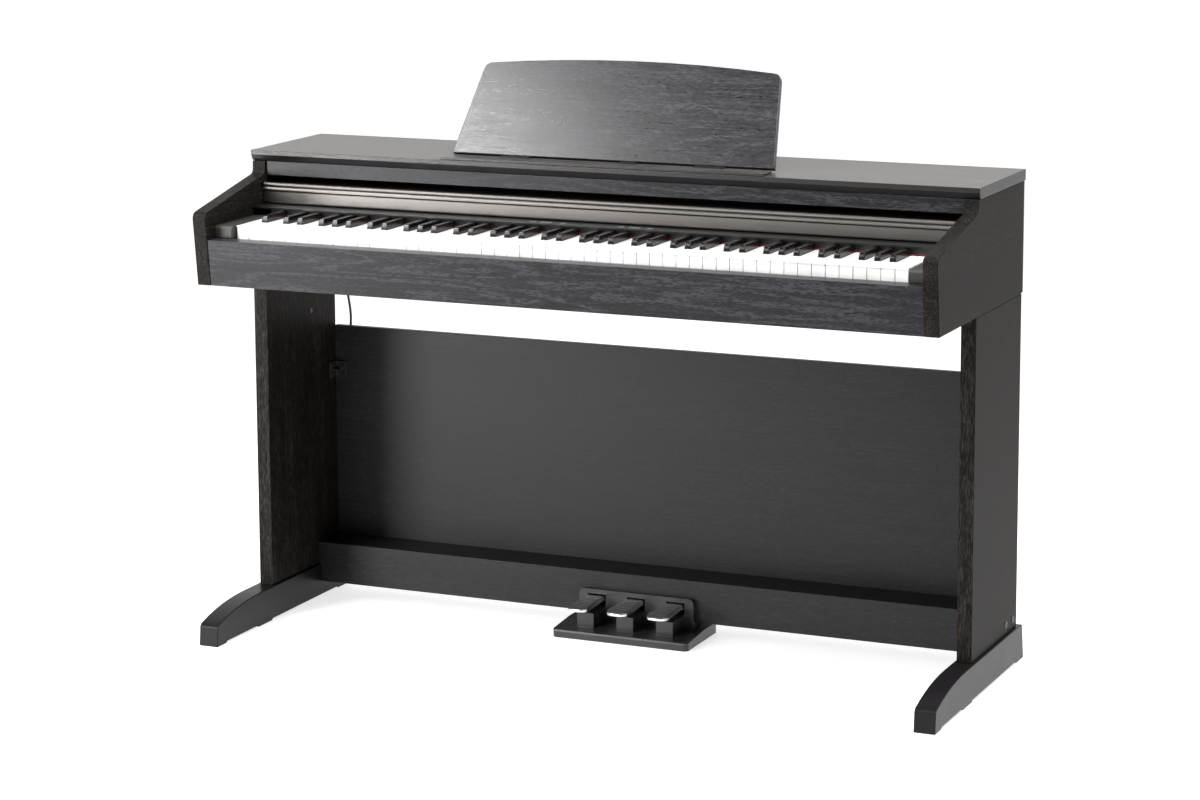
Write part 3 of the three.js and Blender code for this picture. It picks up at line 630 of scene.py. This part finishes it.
def add_leg_fittings():
    """Covers over the screws that hold the stretcher, and the cap inside each leg."""
    for side, sign in SIDES:
        low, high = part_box(f"leg_{side}")
        outer, inner = (high.x, low.x) if sign > 0 else (low.x, high.x)
        for n, y in enumerate(STRETCHER_SCREWS_Y):
            add_screw(f"screw_cap_{side}_{n + 1}", (outer, y, STRETCHER_SCREWS_Z), facing(ALONG_X, sign),
                      STRETCHER_SCREW_CAP)
        add_screw(f"leg_cap_{side}", (inner, *LEG_CAP_YZ), facing(ALONG_X, -sign), LEG_CAP)


def add_bracket_screws():
    """Two screws into the leg and two into the back panel, through each corner bracket."""
    for side, sign in SIDES:
        low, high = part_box(f"corner_bracket_{side}")
        leg_face = (high.x if sign > 0 else low.x) - sign * BRACKET_THICKNESS
        middle = (low.x + high.x) / 2 - sign * 5 * MM
        for n, z in enumerate((low.z + 7 * MM, high.z - 7 * MM)):
            add_screw(f"bracket_screw_{side}_{n + 1}", (leg_face, low.y + 9 * MM, z), facing(ALONG_X, -sign),
                      BRACKET_SCREW)
            add_screw(f"panel_screw_{side}_{n + 1}", (middle, high.y - BRACKET_THICKNESS, z),
                      facing(ALONG_Y, -1), BRACKET_SCREW)


def add_rear_screws():
    """Two rows of screws, each sunk into the rear panel up to its rim."""
    low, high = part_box("rear_panel")
    columns, margin_x, margin_z = 7, 30 * MM, 12 * MM
    face = high.y - 1.6 * MM
    pitch = (high.x - low.x - 2 * margin_x) / (columns - 1)
    for row, z in enumerate((low.z + margin_z, high.z - margin_z)):
        for column in range(columns):
            add_screw(f"rear_screw_{row + 1}_{column + 1}", (low.x + margin_x + pitch * column, face, z),
                      facing(ALONG_Y, 1), REAR_SCREW)


SOCKET_PLATE_X = (250.6 * MM, 339.4 * MM)
SOCKET_PLATE_HEIGHT = 20.8 * MM
# place along X and radius in mm
SOCKETS = ((264, 5.0), (284, 4.2), (304, 4.2), (325, 4.6))


def add_sockets():
    """A black plate with round sockets, over the block that shows in the rear panel's opening."""
    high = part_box("main_board")[1]
    face = high.y - 0.2 * MM
    bottom, top = high.z - SOCKET_PLATE_HEIGHT, high.z
    plate = bmesh.new()
    add_block(plate, *SOCKET_PLATE_X, face, face + 0.4 * MM, bottom, top)
    add_piece(plate, "socket_plate", MATERIALS["control_black"], CABINET)
    for n, (x, size) in enumerate(SOCKETS):
        radius = size * MM
        rim, back = radius - 1.6 * MM, -6 * MM
        profile = [(radius, 0), (radius, 0.7 * MM), (rim, 0.9 * MM), (rim, back), (radius * 0.98, back)]
        mesh = bmesh.new()
        add_lathe(mesh, profile, (x * MM, face, (bottom + top) / 2), facing(ALONG_Y, 1), 28)
        add_piece(mesh, f"socket_ring_{n + 1}", MATERIALS["socket_metal"], CABINET)


GRILLE_RINGS = 9
GRILLE_BAR = 1.1 * MM


def add_speaker(side):
    """A driver over its hole: a stamped grille of rings below, a basket and a magnet above."""
    node = f"speaker_{side}"
    low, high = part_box(node)
    base = Vector(((low.x + high.x) / 2, (low.y + high.y) / 2, low.z))
    rim, height = (high.x - low.x) / 2, high.z - low.z
    grille = rim - 11 * MM
    back, flange = 4 * MM, 10.3 * MM
    basket = [
        (0, back), (grille, back), (grille, flange), (rim, flange), (rim, 18 * MM), (rim - 3 * MM, 19 * MM),
        (46 * MM, 48 * MM), (32 * MM, 52 * MM), (32 * MM, 53 * MM)]
    magnet = [(30 * MM, height - 1 * MM), (29 * MM, height), (0, height)]
    mesh = bmesh.new()
    add_lathe(mesh, basket + magnet, base, steps=48)
    for ring in range(GRILLE_RINGS):
        radius = grille * (ring + 1) / GRILLE_RINGS
        inner, middle, outer = radius - 2 * GRILLE_BAR, radius - GRILLE_BAR, radius - GRILLE_BAR * 0.2
        profile = [(inner, 0.4 * MM), (middle, 0), (outer, 0.4 * MM), (outer, 4.5 * MM), (inner, 4.5 * MM)]
        add_lathe(mesh, profile, base, steps=48)
    add_piece(mesh, f"{node}_driver", MATERIALS["speaker_black"], BODY_OF[node], (node,))


# ---------- dark tabs of the music rest's hinge ----------
REST_TABS_X = ((-198 * MM, -146 * MM), (25 * MM, 54 * MM), (162 * MM, 217 * MM))
REST_TAB_THICKNESS = 2.4 * MM


def add_rest_tabs():
    """The hinge's three tabs, where they show over the ledge's rear edge."""
    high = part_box("rest_ledge")[1]
    bottom, top = high.z + 0.05 * MM, high.z + REST_TAB_THICKNESS
    for n, (x0, x1) in enumerate(REST_TABS_X):
        mesh = bmesh.new()
        add_block(mesh, x0, x1, high.y - 9 * MM, high.y + 5 * MM, bottom, top)
        round_edges(mesh, 0.3 * MM, 2)
        add_piece(mesh, f"rest_tab_{n + 1}", MATERIALS["control_black"], CABINET)


# ---------- strip of felt behind the keys ----------
# kept this low partly as painted shade: the black apron above stands for felt lying in the shade of the black
# keys
FELT_HEIGHT = 1.4 * MM


def add_name_felt():
    """A low red strip that the keys run up to, and the black apron that holds it. The strip is kept low and
    the apron tall partly as painted shade, black where the felt behind the keys lies in shade.
    """
    low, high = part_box("name_felt")
    parts = (("felt_strip", low.y, low.z, low.z + FELT_HEIGHT, "red_felt"),
             ("felt_apron", low.y + 0.8 * MM, low.z + FELT_HEIGHT + 0.1 * MM, high.z, "control_black"))
    for name, front, bottom, top, look in parts:
        mesh = bmesh.new()
        add_block(mesh, low.x, high.x, front, high.y, bottom, top)
        round_edges(mesh, 0.7 * MM, 2)
        replaced = ("name_felt",) if look == "red_felt" else ()
        add_piece(mesh, name, MATERIALS[look], CABINET, replaced)


# ---------- everything else keeps its shape, with rounded edges ----------
# radius in mm and segments of the rounding on each node
EDGES = {
    "lid": (0.9, 2), "fascia": (0.6, 2), "front_panel": (0.9, 2), "key_slip": (0.5, 2),
    "cheek_left": (1.1, 3), "cheek_right": (1.1, 3), "bottom_board": (0.5, 1), "rear_panel": (0.4, 1),
    "control_panel": (0.4, 2), "end_block_left": (1.6, 3), "end_block_right": (1.6, 3),
    "key_cover_handle": (0.5, 2), "key_cover_panel": (0.5, 1), "key_frame": (0.5, 1),
    "music_rest": (1.3, 3), "rest_ledge": (0.8, 2), "rest_hinge": (0.4, 2), "leg_left": (0.8, 2),
    "leg_right": (0.8, 2), "foot_left": (1.5, 3), "foot_right": (1.5, 3), "back_panel": (0.6, 2),
    "stretcher": (0.8, 2), "corner_bracket_left": (0.5, 2), "corner_bracket_right": (0.5, 2),
    "pedal_housing": (1.6, 3), "main_board": (0.3, 1),
}
BUTTON_EDGE = (0.7, 2)


def add_refined_pieces():
    buttons = sorted(node for node in frame["nodes"] if node.startswith("button_"))
    for node, (radius, segments) in (EDGES | dict.fromkeys(buttons, BUTTON_EDGE)).items():
        refined(node, radius * MM, segments)


# ---------- floor and light ----------
FLOOR_REACH = 30
FLOOR_LEVEL = -0.5 * MM
FLOOR_DARK = (0.60, 0.60, 0.60)
FLOOR_LIGHT = (0.64, 0.64, 0.64)


def add_floor():
    """A pale floor that glows evenly round and behind the object and less towards the front."""
    shader = Shader("pale_floor", {"Roughness": 0.7, "Emission Color": (1, 1, 1, 1)})
    place = shader.node("ShaderNodeTexCoord", {}).outputs["Object"]
    depth = shader.node("ShaderNodeSeparateXYZ", {"Vector": place}).outputs["Y"]
    shader.link(shader.mapped(depth, 0.20, 0.72, (-3.2, -1.0)), "Emission Strength")
    tone = shader.noise(cube_scale(0.5), detail=3)
    shader.link(shader.ramp(tone, (0.3, FLOOR_DARK), (0.7, FLOOR_LIGHT)), "Base Color")
    mesh = bmesh.new()
    corners = [mesh.verts.new((x * FLOOR_REACH, y * FLOOR_REACH, FLOOR_LEVEL))
               for x, y in ((-1, -1), (1, -1), (1, 1), (-1, 1))]
    mesh.faces.new(corners)
    data = bpy.data.meshes.new("floor")
    mesh.to_mesh(data)
    mesh.free()
    data.materials.append(shader.material)
    floor = bpy.data.objects.new("floor", data)
    bpy.context.scene.collection.objects.link(floor)


def add_softbox(name, place, aim, size, power, colour=(1, 1, 1)):
    """A rectangular area light that points from its place to its aim."""
    data = bpy.data.lights.new(name, "AREA")
    data.shape = "RECTANGLE"
    data.size, data.size_y = size
    data.energy = power
    data.color = colour
    light = bpy.data.objects.new(name, data)
    light.location = place
    light.rotation_mode = "QUATERNION"
    light.rotation_quaternion = (Vector(aim) - Vector(place)).to_track_quat("-Z", "Y")
    bpy.context.scene.collection.objects.link(light)


def add_surroundings():
    """A white studio that is brightest behind the object and dimmer on the camera's side."""
    world = bpy.data.worlds.new("studio")
    world.use_nodes = True
    tree = world.node_tree
    background = tree.nodes["Background"]
    direction = tree.nodes.new("ShaderNodeTexCoord").outputs["Generated"]
    parts = tree.nodes.new("ShaderNodeSeparateXYZ")
    depth = tree.nodes.new("ShaderNodeMapRange")
    for limit, value in (("From Min", 0.0), ("From Max", 0.75), ("To Min", 0.12), ("To Max", 1.05)):
        depth.inputs[limit].default_value = value
    tree.links.new(direction, parts.inputs[0])
    tree.links.new(parts.outputs["Y"], depth.inputs["Value"])
    tree.links.new(depth.outputs[0], background.inputs["Strength"])
    background.inputs["Color"].default_value = (1, 1, 1, 1)
    bpy.context.scene.world = world


def add_lights():
    add_softbox("key_light", (-2.1, -2.5, 2.0), (-0.3, 0, 0.8), (1.2, 2.2), 60)
    add_softbox("high_light", (-1.12, -0.88, 2.08), (-0.35, 0, 0.87), (0.5, 0.5), 30)
    add_softbox("front_strip", (-1.2, -2.7, 1.75), (-0.1, 0, 0.75), (1.7, 0.5), 18)
    add_softbox("low_light", (-1.85, -2.2, 0.42), (-0.6, -0.2, 0.7), (0.8, 0.5), 46)
    add_softbox("top_light", (1.0, -0.7, 3.2), (0.3, -0.1, 0.7), (1.7, 1.2), 140)
    add_softbox("right_fill", (3.6, 0.2, 1.2), (0.4, 0, 0.5), (1.8, 2.0), 7, (1.0, 0.86, 0.74))


# ---------- the whole scene ----------
bpy.context.scene.view_settings.view_transform = "Standard"
add_camera()
add_cable()
add_cable_grommet()
add_refined_pieces()
add_keys()
for pedal in ("pedal_left", "pedal_middle", "pedal_right"):
    add_pedal(pedal)
for side_name, _ in SIDES:
    add_speaker(side_name)
add_leg_fittings()
add_bracket_screws()
add_rear_screws()
add_sockets()
add_name_felt()
add_rest_tabs()
add_floor()
add_surroundings()
add_lights()
